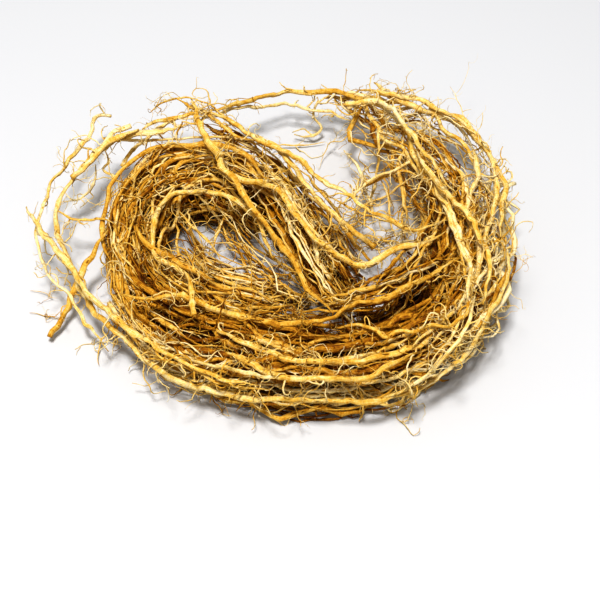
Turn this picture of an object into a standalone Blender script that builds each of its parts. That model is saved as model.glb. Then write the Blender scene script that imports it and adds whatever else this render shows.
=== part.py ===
"""A hank of dried vetiver roots: bunches of roots wound in a loose coil, with long roots lying over them.

The plan has x to the right, y away from the front and z up from the surface that the hank lies on.
Places on the plan are in millimetres, and MM turns them into Blender's metres.
"""

import math
import random

import bmesh
import bpy
from mathutils import Vector
from mathutils.bvhtree import BVHTree

MM = 0.001
GAP = 0.5  # air between two neighbours
PLAN_CENTRE = Vector((-1.0, 13.3, 0.0))  # the middle of the hank on the plan, which becomes the origin
FINE_STEPS = 12  # steps of a smooth curve between two route points, before it is evened out

# The bunches: each is a slim core of packed roots, with single roots winding over it and standing out of it.
# A route point is (x, y, bottom, top): the bunch fills the height from bottom to top there. A bottom
# a little under zero is cut flat where the bunch rests.
ROOT_RADIUS = 1.3
ROOT_SIDES = 4
CORE_WIDTH_SHARE = 0.46
CORE_HEIGHT_SHARE = 0.62
CORE_SIDES = 6
BUNCH_STEP = 12.0
LEAST_END = 0.55  # how far a bunch is drawn in at its ends
REST = -2.0
BUNCHES = {
    "diagonal_bunch": {
        "half_width": 6.2, "roots": 8, "seed": 3,
        "route": [(27, -28, 10, 26), (23, -20, 8, 28), (17, -8, 5, 30), (10, 9, 3, 31), (1, 26, 0, 32),
                  (-12, 40, REST, 32), (-27, 47, REST, 32), (-41, 48, REST, 31), (-52, 42, REST, 29),
                  (-59, 31, REST, 27), (-62, 17, REST, 26), (-61, 2, REST, 25), (-58, -11, 0, 24),
                  (-52, -20, 1, 22), (-46, -27, 3, 20)],
    },
    "slope_bunch": {
        "half_width": 4.8, "roots": 6, "seed": 5,
        "route": [(3, 40, 1, 13), (12, 28, REST, 14), (20, 14, REST, 14), (27, 0, REST, 12),
                  (35, -14, 0, 10)],
    },
    "eye_bunch": {
        "half_width": 5.3, "roots": 7, "seed": 8,
        "route": [(-11, 22, 6, 24), (-18, 29, 2, 26), (-28, 34, 0, 27), (-38, 33, REST, 26),
                  (-46, 25, REST, 25), (-49, 13, REST, 24), (-48, 0, REST, 22), (-43, -12, REST, 20),
                  (-34, -21, REST, 20), (-22, -28, REST, 20), (-7, -33, REST, 19), (10, -36, 0, 19),
                  (27, -39, 2, 17)],
    },
    "inner_bunch": {
        "half_width": 4.8, "roots": 6, "seed": 14,
        "route": [(-37, -1, 3, 13), (-30, -10, REST, 13), (-19, -17, REST, 14), (-6, -21, REST, 14),
                  (9, -25, 1, 14)],
    },
    "eye_floor_bunch": {
        "half_width": 4.4, "roots": 5, "seed": 18,
        "route": [(-28, 4, 2, 9), (-19, -4, REST, 10), (-7, -9, REST, 11), (7, -13, 1, 10)],
    },
    "front_bunch": {
        "half_width": 5.6, "roots": 8, "seed": 21,
        "route": [(-37, -34, 1, 23), (-24, -40, REST, 25), (-8, -45, REST, 26), (10, -48, REST, 26),
                  (27, -49, REST, 26), (43, -47, REST, 26), (57, -41, REST, 27), (68, -31, REST, 29),
                  (75, -18, REST, 31), (79, -3, REST, 32), (81, 13, REST, 33), (78, 29, REST, 33),
                  (72, 43, 2, 32), (64, 55, 7, 32), (55, 65, 13, 31)],
    },
    "outer_bunch": {
        "half_width": 5.0, "roots": 7, "seed": 33,
        "route": [(-57, -28, 3, 18), (-49, -38, 0, 21), (-40, -46, REST, 22), (-26, -53, REST, 23),
                  (-9, -57, REST, 23), (9, -60, REST, 23), (27, -60.5, REST, 23), (46, -57.5, REST, 24),
                  (62, -50, 1, 26), (75, -40, 2, 28), (85, -26, 3, 30), (91, -9, 4, 31), (93, 9, 5, 31),
                  (93, 25, 6, 30), (92, 38, 8, 28)],
    },
    "inner_right_bunch": {
        "half_width": 5.0, "roots": 7, "seed": 47,
        "route": [(31, -33, 27, 38), (41, -29, 26, 38), (52, -21, 20, 36), (61, -9, 10, 33), (67, 5, 2, 31),
                  (68, 19, REST, 30), (65, 33, REST, 30), (58, 45, 3, 29), (50, 54, 9, 28), (41, 62, 15, 27)],
    },
    "pocket_bunch": {
        "half_width": 4.4, "roots": 5, "seed": 49,
        "route": [(33, -31, 1, 9), (43, -27, REST, 10), (52, -22, REST, 10), (60, -11, 0, 7)],
    },
    "crown_bunch": {
        "half_width": 5.2, "roots": 7, "seed": 52,
        "route": [(93, 51, 9, 26), (86, 65, 9, 27), (76, 75, 10, 27), (63, 82, 12, 27), (48, 86, 14, 26),
                  (33, 88, 16, 25)],
    },
}

# The long roots, laid over the bunches and over each other in this order. A route point is (x, y, z),
# and a root rises over what it would run into.
LONG_ROOTS = {
    "cut_root": {
        "radius": 1.5, "tip": 1.4,
        "route": [(-66, 6, 17), (-70, -1, 15), (-74, -8, 12), (-78, -15, 9), (-82, -22, 5), (-88, -32, 1.6)],
    },
    "short_cut_root": {
        "radius": 1.1, "tip": 1.0,
        "route": [(-65, 53, 14), (-61, 59, 17), (-52, 64, 21), (-44, 70, 25), (-34, 76, 27)],
    },
    "far_left_root": {
        "radius": 0.9, "tip": 0.7,
        "route": [(-71, 79, 20), (-77, 77, 20), (-80, 60, 22), (-86, 47, 23), (-91, 34, 23), (-95, 19, 21),
                  (-95, 4, 16), (-89, -9, 10), (-81, -20, 7), (-72, -31, 5), (-62, -42, 4)],
    },
    "left_loop_root": {
        "radius": 1.6, "tip": 1.1,
        "route": [(-37, 58, 33), (-46, 55, 32), (-56, 56, 31), (-66, 53, 30), (-75, 43, 28), (-84, 30, 26),
                  (-88, 18, 24), (-85, 5, 22), (-80, -8, 20), (-74, -22, 18), (-67, -31, 17), (-59, -40, 17),
                  (-50, -50, 17), (-40, -59, 17), (-28, -65, 17), (-13, -69, 17), (3, -71, 18), (21, -72, 18),
                  (38, -71, 18), (53, -68, 19), (66, -61, 22), (77, -50, 28), (86, -36, 32), (91, -20, 34),
                  (92, -5, 34)],
    },
    "left_crossing_root": {
        "radius": 1.4, "tip": 1.0,
        "route": [(-98, 15, 30), (-92, 3, 28), (-85, -6, 27), (-76, -18, 26), (-68, -29, 25), (-59, -40, 25),
                  (-47, -50, 25), (-33, -59, 26), (-17, -64, 27), (0, -67, 27), (17, -68, 27), (34, -66, 27)],
    },
    "thin_strand_root": {
        "radius": 0.9, "tip": 0.7,
        "route": [(-32, 63, 30), (-21, 73, 27), (-6, 84, 21), (10, 87, 18), (26, 85, 16), (41, 77, 17)],
    },
    "top_strand_root": {
        "radius": 1.2, "tip": 1.0,
        "route": [(-26, 67, 33), (-14, 79, 28), (0, 89, 23), (13, 92, 22), (27, 89, 24), (39, 81, 28),
                  (50, 70, 32), (57, 55, 33), (60, 40, 34), (65, 24, 34), (70, 9, 34)],
    },
    "cut_end_root": {
        "radius": 1.2, "tip": 1.2,
        "route": [(-9, 54, 34), (2, 43, 34), (11, 32, 33), (17, 22, 32), (24, 13, 29), (32, 7, 26),
                  (43, 2, 20)],
    },
    "crescent_root": {
        "radius": 1.4, "tip": 1.1,
        "route": [(-22, 32, 36), (-9, 22, 36), (3, 18, 36), (11, 5, 35), (19, -6, 33), (30, -14, 30),
                  (40, -15, 29), (51, -9, 31), (62, -8, 34), (70, -4, 35)],
    },
    "diagonal_root": {
        "radius": 1.6, "tip": 1.1,
        "route": [(-34, 68, 38), (-31, 55, 39), (-25, 42, 39), (-19, 27, 39), (-11, 12, 39), (-3, 0, 38),
                  (4, -12, 36), (11, -24, 34), (18, -34, 32), (24, -41, 30)],
    },
    "upper_crossing_root": {
        "radius": 1.2, "tip": 0.9,
        "route": [(-28, 63, 37), (-15, 55, 37), (-2, 44, 37), (10, 35, 37), (20, 24, 37), (31, 14, 37),
                  (43, 3, 37), (54, -3, 37), (66, -3, 38)],
    },
    "stub_root": {
        "radius": 1.6, "tip": 1.5,
        "route": [(-35, -16, 25), (-31, -23, 26), (-29, -31, 26), (-28, -38, 26)],
    },
    "pocket_root": {
        "radius": 1.3, "tip": 1.0,
        "route": [(-57, -31, 29), (-45, -33, 29), (-34, -31, 29), (-22, -37, 29), (-10, -41, 28),
                  (6, -44, 28), (22, -43, 30), (37, -39, 36), (50, -34, 38), (62, -27, 36), (73, -17, 34)],
    },
    "front_sweep_root": {
        "radius": 1.4, "tip": 1.0,
        "route": [(-20, -45, 27), (-8, -53, 27), (4, -59, 27), (17, -61, 28), (31, -61, 28), (45, -58, 29),
                  (57, -52, 30), (68, -42, 32)],
    },
    "right_root": {
        "radius": 1.4, "tip": 1.1,
        "route": [(66, 28, 34), (70, 12, 34), (74, -3, 34), (77, -17, 34), (76, -31, 34), (72, -44, 33),
                  (60, -55, 31)],
    },
    "right_wall_root": {
        "radius": 1.4, "tip": 1.1,
        "route": [(60, 38, 36), (68, 16, 37), (76, 3, 37), (82, -12, 36), (83, -27, 36), (79, -40, 35)],
    },
    "crown_root": {
        "radius": 1.4, "tip": 1.0,
        "route": [(40, 88, 27), (54, 82, 29), (69, 76, 30), (83, 62, 31), (92, 46, 31), (95, 26, 33),
                  (93, 6, 34), (90, -8, 34)],
    },
    "crown_cut_root": {
        "radius": 1.6, "tip": 1.1,
        "route": [(33, 71, 28), (45, 72, 29), (53, 62, 32), (58, 45, 34), (66, 24, 36), (73, 8, 37)],
    },
}

# The free ends of the long roots wander a little from their routes.
LONG_SIDES = 4
LONG_STEP = 7.5
WANDER = 0.8
WANDER_LENGTHS = (41.0, 23.0)
CLIMB_POINTS = 3  # how many points before and after a crossing share its climb

# Rootlets stand out of the bunches.
ROOTLET_RADIUS = 0.42
ROOTLET_STEP = 3.5
ROOTLETS_PER_BUNCH = 7
ROOTLET_TRIES = 80

DRIED_ROOT = (0.58, 0.33, 0.08, 1.0)
PALE_ROOT = (0.72, 0.47, 0.18, 1.0)


def curve_value(a, b, c, d, t):
    """The Catmull-Rom curve's number a share t of the way from b to c, with a before them and d after."""
    squared = 2 * a - 5 * b + 4 * c - d
    cubed = 3 * b - a - 3 * c + d
    return 0.5 * (2 * b + (c - a) * t + squared * t ** 2 + cubed * t ** 3)


def smooth_route(points, step):
    """Points about a step apart on the smooth curve through the given ones, with all their numbers."""
    fine = []
    last = len(points) - 1
    for i in range(last):
        before, start = points[max(i - 1, 0)], points[i]
        end, after = points[i + 1], points[min(i + 2, last)]
        for k in range(FINE_STEPS):
            share = k / FINE_STEPS
            fine.append([curve_value(*row, share) for row in zip(before, start, end, after)])
    fine.append(list(points[-1]))
    lengths = [0.0]
    for p, q in zip(fine, fine[1:]):
        lengths.append(lengths[-1] + math.dist(p[:3], q[:3]))
    count = max(3, round(lengths[-1] / step))
    places, k = [], 0
    for i in range(count + 1):
        wanted = lengths[-1] * i / count
        while k < len(fine) - 2 and lengths[k + 1] < wanted:
            k += 1
        share = (wanted - lengths[k]) / max(lengths[k + 1] - lengths[k], 1e-9)
        places.append([a + (b - a) * share for a, b in zip(fine[k], fine[k + 1])])
    return places


def bunch_line(bunch, step=BUNCH_STEP):
    """The bunch's line as (centre, half width, half height), with both ends drawn in."""
    route = [(x, y, (low + high) / 2, (high - low) / 2) for x, y, low, high in bunch["route"]]
    places = smooth_route(route, step)
    line = []
    for i, (x, y, z, half_height) in enumerate(places):
        share = i / (len(places) - 1)
        drawn = min(1.0, LEAST_END + 3.0 * min(share, 1 - share))
        line.append((Vector((x, y, z)), bunch["half_width"] * drawn, half_height * drawn))
    return line


def side_at(points, i):
    """The level direction across a line of points."""
    along = points[min(i + 1, len(points) - 1)] - points[max(i - 1, 0)]
    return Vector((along.y, -along.x, 0)).normalized()


def root_in_bunch(line, angle, turn, draw, radius):
    """One root's points, winding over the bunch's core and never outside the bunch."""
    first = draw.randint(0, max(0, len(line) // 5))
    last = len(line) - 1 - draw.randint(0, max(0, len(line) // 5))
    phase = draw.uniform(0, math.tau)
    centres = [c for c, _, _ in line]
    points = []
    for i in range(first, last + 1):
        centre, half_width, half_height = line[i]
        here = angle + turn * i + 0.30 * math.sin(0.9 * i + phase)
        out = 0.82 + 0.18 * math.sin(1.35 * i + 2 * phase)
        across = math.cos(here) * out * (half_width - radius)
        up = math.sin(here) * out * (half_height - radius)
        points.append(centre + side_at(centres, i) * across + Vector((0, 0, up)))
    return points


def place(point):
    """A place on the plan as Blender's metres from the hank's middle."""
    return (point - PLAN_CENTRE) * MM


def swept_root(name, points, radii, sides):
    """A closed mesh object swept along the points: a bevelled curve with its caps welded."""
    curve = bpy.data.curves.new(name, "CURVE")
    curve.dimensions = "3D"
    curve.bevel_depth = MM
    curve.bevel_resolution = (sides - 4) // 2
    curve.use_fill_caps = True
    spline = curve.splines.new("POLY")
    spline.points.add(len(points) - 1)
    for node, point, radius in zip(spline.points, points, radii):
        node.co = (*place(point), 1)
        node.radius = radius
    swept = bpy.data.objects.new(name + "_line", curve)
    bpy.context.scene.collection.objects.link(swept)
    bpy.context.view_layer.update()
    mesh = bpy.data.meshes.new_from_object(swept.evaluated_get(bpy.context.evaluated_depsgraph_get()))
    bpy.data.objects.remove(swept)
    bpy.data.curves.remove(curve)
    form = bmesh.new()
    form.from_mesh(mesh)
    bmesh.ops.remove_doubles(form, verts=form.verts, dist=0.00001)
    bmesh.ops.recalc_face_normals(form, faces=form.faces)
    form.to_mesh(mesh)
    form.free()
    mesh.name = name
    return bpy.data.objects.new(name, mesh)


def lofted_core(name, line):
    """The bunch's core: unlike oval sections lofted along its line, lumpy where roots press on it."""
    form = bmesh.new()
    centres = [c for c, _, _ in line]
    rings = []
    for i, (centre, half_width, half_height) in enumerate(line):
        ring = []
        for k in range(CORE_SIDES):
            angle = math.tau * (k + 0.5 * (i % 2)) / CORE_SIDES
            lump = 1 + 0.10 * math.sin(2.1 * i + 2.4 * k)
            level = side_at(centres, i) * (math.cos(angle) * half_width * CORE_WIDTH_SHARE * lump)
            upright = Vector((0, 0, math.sin(angle) * half_height * CORE_HEIGHT_SHARE * lump))
            ring.append(form.verts.new(place(centre + level + upright)))
        rings.append(ring)
    for i, (ring, following) in enumerate(zip(rings, rings[1:])):
        for k in range(CORE_SIDES):
            after = (k + 1) % CORE_SIDES
            if i % 2:
                form.faces.new((ring[k], ring[after], following[after]))
                form.faces.new((ring[k], following[after], following[k]))
            else:
                form.faces.new((ring[k], ring[after], following[k]))
                form.faces.new((ring[after], following[after], following[k]))
    form.faces.new(rings[0][::-1])
    form.faces.new(rings[-1])
    bmesh.ops.recalc_face_normals(form, faces=form.faces)
    mesh = bpy.data.meshes.new(name)
    form.to_mesh(mesh)
    form.free()
    return bpy.data.objects.new(name, mesh)


def join(body, pieces):
    """Fuses the pieces to the body by one Boolean union."""
    together = bpy.data.collections.new(body.name + "_pieces")
    bpy.context.scene.collection.children.link(together)
    for piece in pieces:
        together.objects.link(piece)
    union = body.modifiers.new("union", "BOOLEAN")
    union.operation = "UNION"
    union.operand_type = "COLLECTION"
    union.collection = together
    union.solver = "EXACT"
    bpy.context.view_layer.update()
    mesh = bpy.data.meshes.new_from_object(body.evaluated_get(bpy.context.evaluated_depsgraph_get()))
    body.modifiers.remove(union)
    mesh.materials.clear()
    body.data = mesh
    for piece in pieces:
        bpy.data.objects.remove(piece)
    bpy.data.collections.remove(together)


def flatten_bottom(body):
    """Cuts the body flat where it rests on the surface."""
    form = bmesh.new()
    form.from_mesh(body.data)
    cut = bmesh.ops.bisect_plane(
        form, geom=form.verts[:] + form.edges[:] + form.faces[:], dist=0.000001,
        plane_co=(0, 0, 0), plane_no=(0, 0, 1), clear_inner=True,
    )
    edges = [e for e in cut["geom_cut"] if isinstance(e, bmesh.types.BMEdge)]
    bmesh.ops.holes_fill(form, edges=edges, sides=0)
    bmesh.ops.recalc_face_normals(form, faces=form.faces)
    form.to_mesh(body.data)
    form.free()


def surface_tree(body):
    """The body's surface, for measuring how far another piece is from it."""
    form = bmesh.new()
    form.from_mesh(body.data)
    tree = BVHTree.FromBMesh(form)
    form.free()
    return tree


def make_bunch(name, bunch, draw):
    """The core and its roots as one body, and the roots' points, which rootlets may grow from."""
    line = bunch_line(bunch)
    core = lofted_core(name, line)
    bpy.context.scene.collection.objects.link(core)
    roots, buds = [], []
    turn = draw.uniform(0.10, 0.22)
    for k in range(bunch["roots"]):
        angle = math.tau * (k + draw.uniform(-0.2, 0.2)) / bunch["roots"]
        radius = ROOT_RADIUS * draw.uniform(0.8, 1.1)
        points = root_in_bunch(line, angle, turn, draw, radius)
        taper = [radius * (1.05 - 0.35 * i / (len(points) - 1)) for i in range(len(points))]
        roots.append(swept_root(f"{name}_root_{k}", points, taper, ROOT_SIDES))
        buds += points
    join(core, roots)
    return core, buds


def support_under(point, radius, laid):
    """The height that a root's middle needs here to lie clear over everything laid so far."""
    height = 0.0
    for centre, half_width, half_height in laid:
        reach = half_width + radius + GAP
        away = math.hypot(point.x - centre.x, point.y - centre.y)
        if away < reach:
            rise = (half_height + radius + GAP) * math.sqrt(1 - (away / reach) ** 2)
            height = max(height, centre.z + rise)
    return height


def laid_over(points, radius, laid):
    """The points lifted, in one smooth rise, over what they would run into."""
    lift = [max(0.0, support_under(p, radius, laid) - p.z) for p in points]
    count = len(points)
    around = [range(max(0, i - CLIMB_POINTS), min(count, i + CLIMB_POINTS + 1)) for i in range(count)]
    widest = [max(lift[k] for k in near) for near in around]
    smooth = [max(sum(widest[k] for k in near) / len(near), lift[i]) for i, near in enumerate(around)]
    return [p + Vector((0, 0, rise)) for p, rise in zip(points, smooth)]


def long_root_points(root, draw, laid):
    """A long root's line, with its wander, laid over the rest."""
    phases = [draw.uniform(0, math.tau) for _ in WANDER_LENGTHS]
    places = [Vector(p) for p in smooth_route(root["route"], LONG_STEP)]
    points = []
    for i, p in enumerate(places):
        waves = [math.sin(math.tau * i * LONG_STEP / length + phase)
                 for length, phase in zip(WANDER_LENGTHS, phases)]
        points.append(p + side_at(places, i) * (WANDER * sum(waves) / 2))
    return laid_over(points, root["radius"], laid)


def make_long_root(name, root, points):
    """A long root, thinning evenly to its tip."""
    fall = (root["radius"] - root["tip"]) / (len(points) - 1)
    radii = [root["radius"] - fall * i for i in range(len(points))]
    body = swept_root(name, points, radii, LONG_SIDES)
    bpy.context.scene.collection.objects.link(body)
    return body


def rootlet_points(start, outward, draw):
    """A thin crooked rootlet that leaves a root and lifts away from the bunch."""
    direction = (outward + Vector([draw.uniform(-0.7, 0.7) for _ in range(3)])).normalized()
    points = [start - direction * 0.5]
    for _ in range(draw.randint(2, 3)):
        points.append(points[-1] + direction * ROOTLET_STEP)
        direction = (direction + Vector([draw.uniform(-0.55, 0.55) for _ in range(3)])).normalized()
    return points


def grow_rootlets(name, body, buds, draw, neighbours):
    """Fuses rootlets to a bunch wherever they find air between the neighbours."""
    centres = [c for c, _, _ in bunch_line(BUNCHES[name])]
    air = (ROOTLET_RADIUS + GAP) * MM
    grown = []
    for _ in range(ROOTLET_TRIES):
        start = draw.choice(buds)
        nearest = min(centres, key=lambda c: (c - start).length)
        outward = (start - nearest).normalized() + Vector((0, 0, 0.4))
        points = rootlet_points(start, outward, draw)
        halfway = [(p + q) / 2 for p, q in zip(points, points[1:])]
        near = any(tree.find_nearest(place(p), air)[0] for p in points + halfway for tree in neighbours)
        if near or min(p.z for p in points) < 1.0:
            continue
        radii = [ROOTLET_RADIUS * (1 - 0.2 * i / len(points)) for i in range(len(points))]
        grown.append(swept_root(f"{name}_rootlet_{len(grown)}", points, radii, ROOT_SIDES))
        if len(grown) == ROOTLETS_PER_BUNCH:
            break
    join(body, grown)


def finish(body, collection, colour):
    """Puts the body in the hank's collection, with its own matt fibrous material."""
    made = bpy.data.materials.new(body.name + "_finish")
    made.use_nodes = True
    shader = made.node_tree.nodes["Principled BSDF"]
    shader.inputs["Base Color"].default_value = colour
    shader.inputs["Roughness"].default_value = 0.72
    shader.inputs["Metallic"].default_value = 0.0
    made.diffuse_color = colour
    body.data.materials.append(made)
    body.data.shade_smooth()
    body.data.set_sharp_from_angle(angle=math.radians(40))
    for home in list(body.users_collection):
        home.objects.unlink(body)
    collection.objects.link(body)


def main():
    for old in list(bpy.data.objects):
        bpy.data.objects.remove(old)
    hank = bpy.data.collections.new("vetiver_root")
    bpy.context.scene.collection.children.link(hank)
    bodies, buds, laid = {}, {}, []
    draws = {name: random.Random(bunch["seed"]) for name, bunch in BUNCHES.items()}
    for name, bunch in BUNCHES.items():
        bodies[name], buds[name] = make_bunch(name, bunch, draws[name])
        laid += bunch_line(bunch, 2.5)
    for seed, (name, root) in enumerate(LONG_ROOTS.items()):
        points = long_root_points(root, random.Random(seed), laid)
        bodies[name] = make_long_root(name, root, points)
        laid += [(Vector(p), root["radius"], root["radius"]) for p in smooth_route(points, 2.0)]
    trees = {name: surface_tree(body) for name, body in bodies.items()}
    for name in BUNCHES:
        neighbours = [tree for other, tree in trees.items() if other != name]
        grow_rootlets(name, bodies[name], buds[name], draws[name], neighbours)
        trees[name] = surface_tree(bodies[name])
        flatten_bottom(bodies[name])
    for name, body in bodies.items():
        finish(body, hank, DRIED_ROOT if name in BUNCHES else PALE_ROOT)


main()
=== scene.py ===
"""The looks of a hank of dried vetiver roots.

Every root and rootlet of the coil is a swept mesh, which stands in place of the part's plain solids.
"""

import math
import random

import bpy
import numpy as np
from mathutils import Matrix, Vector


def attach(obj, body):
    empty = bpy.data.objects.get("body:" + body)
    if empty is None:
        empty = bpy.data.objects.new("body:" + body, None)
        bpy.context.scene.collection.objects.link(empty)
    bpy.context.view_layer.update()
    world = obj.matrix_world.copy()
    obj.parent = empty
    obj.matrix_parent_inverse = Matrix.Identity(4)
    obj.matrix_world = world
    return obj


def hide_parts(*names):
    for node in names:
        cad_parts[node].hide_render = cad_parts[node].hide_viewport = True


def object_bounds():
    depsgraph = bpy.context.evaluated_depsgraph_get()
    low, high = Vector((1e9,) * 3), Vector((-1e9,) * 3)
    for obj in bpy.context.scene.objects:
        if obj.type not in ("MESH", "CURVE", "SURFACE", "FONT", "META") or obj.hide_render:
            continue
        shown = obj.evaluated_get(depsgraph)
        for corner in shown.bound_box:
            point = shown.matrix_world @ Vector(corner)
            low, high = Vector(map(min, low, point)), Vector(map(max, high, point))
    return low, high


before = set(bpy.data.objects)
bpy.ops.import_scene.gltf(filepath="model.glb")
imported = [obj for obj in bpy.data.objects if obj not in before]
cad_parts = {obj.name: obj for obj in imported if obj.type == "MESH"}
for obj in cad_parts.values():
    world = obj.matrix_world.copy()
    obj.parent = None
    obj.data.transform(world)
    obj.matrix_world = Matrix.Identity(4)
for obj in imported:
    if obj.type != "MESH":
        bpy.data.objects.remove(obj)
cad_box = np.array(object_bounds())

# The hank is drawn on a plan in millimetres. The plan's centre point is the frame's origin.
MM = 0.001
PLAN_CENTRE = np.array([-1.0, 13.3, 0.0])
UP = np.array([0.0, 0.0, 1.0])

# How finely curves are read, the steps of the lines that other roots are laid over, and how many places
# are compared with those lines at once.
FINE_STEPS = 12
BUNCH_STEP = 1.5
LAID_STEP = 2.5
LAID_ROOT_STEP = 2.0
AT_ONCE = 4000

# The share of its section that a bunch keeps at its ends, and the bottom of a stretch that rests on the
# surface.
LEAST_END = 0.55
REST = -2.0

# The bunches, as in the part. A route point is (x, y, bottom, top). tint is how pale the bark is, from
# 0 for dark brown to 1 for cream, and end_tint the same at the route's end. lean gathers a bunch's
# roots towards the route's start, wild makes them more crooked towards its end, and fullness is the
# share of them that it has.
BUNCHES = {
    "diagonal_bunch": {
        "half_width": 6.2, "tint": 0.60,
        "route": [(27, -28, 10, 26), (23, -20, 8, 28), (17, -8, 5, 30), (10, 9, 3, 31), (1, 26, 0, 32),
                  (-12, 40, REST, 32), (-27, 47, REST, 32), (-41, 48, REST, 31), (-52, 42, REST, 29),
                  (-59, 31, REST, 27), (-62, 17, REST, 26), (-61, 2, REST, 25), (-58, -11, 0, 24),
                  (-52, -20, 1, 22), (-46, -27, 3, 20)],
    },
    "slope_bunch": {
        "half_width": 4.8, "tint": 0.30,
        "route": [(3, 40, 1, 13), (12, 28, REST, 14), (20, 14, REST, 14), (27, 0, REST, 12),
                  (35, -14, 0, 10)],
    },
    "eye_bunch": {
        "half_width": 5.3, "tint": 0.54,
        "route": [(-11, 22, 6, 24), (-18, 29, 2, 26), (-28, 34, 0, 27), (-38, 33, REST, 26),
                  (-46, 25, REST, 25), (-49, 13, REST, 24), (-48, 0, REST, 22), (-43, -12, REST, 20),
                  (-34, -21, REST, 20), (-22, -28, REST, 20), (-7, -33, REST, 19), (10, -36, 0, 19),
                  (27, -39, 2, 17)],
    },
    "inner_bunch": {
        "half_width": 4.8, "tint": 0.62,
        "route": [(-37, -1, 3, 13), (-30, -10, REST, 13), (-19, -17, REST, 14), (-6, -21, REST, 14),
                  (9, -25, 1, 14)],
    },
    "eye_floor_bunch": {
        "half_width": 4.4, "tint": 0.62,
        "route": [(-28, 4, 2, 9), (-19, -4, REST, 10), (-7, -9, REST, 11), (7, -13, 1, 10)],
    },
    "front_bunch": {
        "half_width": 5.6, "tint": 0.12, "end_tint": 1.00, "lean": 2.8, "wild": 1.8, "fullness": 0.8,
        "route": [(-37, -34, 1, 23), (-24, -40, REST, 25), (-8, -45, REST, 26), (10, -48, REST, 26),
                  (27, -49, REST, 26), (43, -47, REST, 26), (57, -41, REST, 27), (68, -31, REST, 29),
                  (75, -18, REST, 31), (79, -3, REST, 32), (81, 13, REST, 33), (78, 29, REST, 33),
                  (72, 43, 2, 32), (64, 55, 7, 32), (55, 65, 13, 31)],
    },
    "outer_bunch": {
        "half_width": 5.0, "tint": 0.72, "end_tint": 0.98, "lean": 2.4, "wild": 1.8, "fullness": 0.85,
        "route": [(-57, -28, 3, 18), (-49, -38, 0, 21), (-40, -46, REST, 22), (-26, -53, REST, 23),
                  (-9, -57, REST, 23), (9, -60, REST, 23), (27, -60.5, REST, 23), (46, -57.5, REST, 24),
                  (62, -50, 1, 26), (75, -40, 2, 28), (85, -26, 3, 30), (91, -9, 4, 31), (93, 9, 5, 31),
                  (93, 25, 6, 30), (92, 38, 8, 28)],
    },
    "inner_right_bunch": {
        "half_width": 5.0, "tint": 0.66, "end_tint": 0.98, "lean": 2.8, "wild": 2.2, "fullness": 0.44,
        "route": [(31, -33, 27, 38), (41, -29, 26, 38), (52, -21, 20, 36), (61, -9, 10, 33), (67, 5, 2, 31),
                  (68, 19, REST, 30), (65, 33, REST, 30), (58, 45, 3, 29), (50, 54, 9, 28),
                  (41, 62, 15, 27)],
    },
    "pocket_bunch": {
        "half_width": 4.4, "tint": 0.22,
        "route": [(33, -31, 1, 9), (43, -27, REST, 10), (52, -22, REST, 10), (60, -11, 0, 7)],
    },
    "crown_bunch": {
        "half_width": 5.2, "tint": 0.86, "wild": 1.8, "fullness": 0.28,
        "route": [(93, 51, 9, 26), (86, 65, 9, 27), (76, 75, 10, 27), (63, 82, 12, 27), (48, 86, 14, 26),
                  (33, 88, 16, 25)],
    },
}

# How the part lays its long roots: the step of their points, their wander to the sides and its lengths,
# the points over which one climbs, and the gap to what it lies over.
LONG_STEP = 7.5
WANDER = 0.8
WANDER_LENGTHS = (41.0, 23.0)
CLIMB_POINTS = 3
GAP = 0.5

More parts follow.
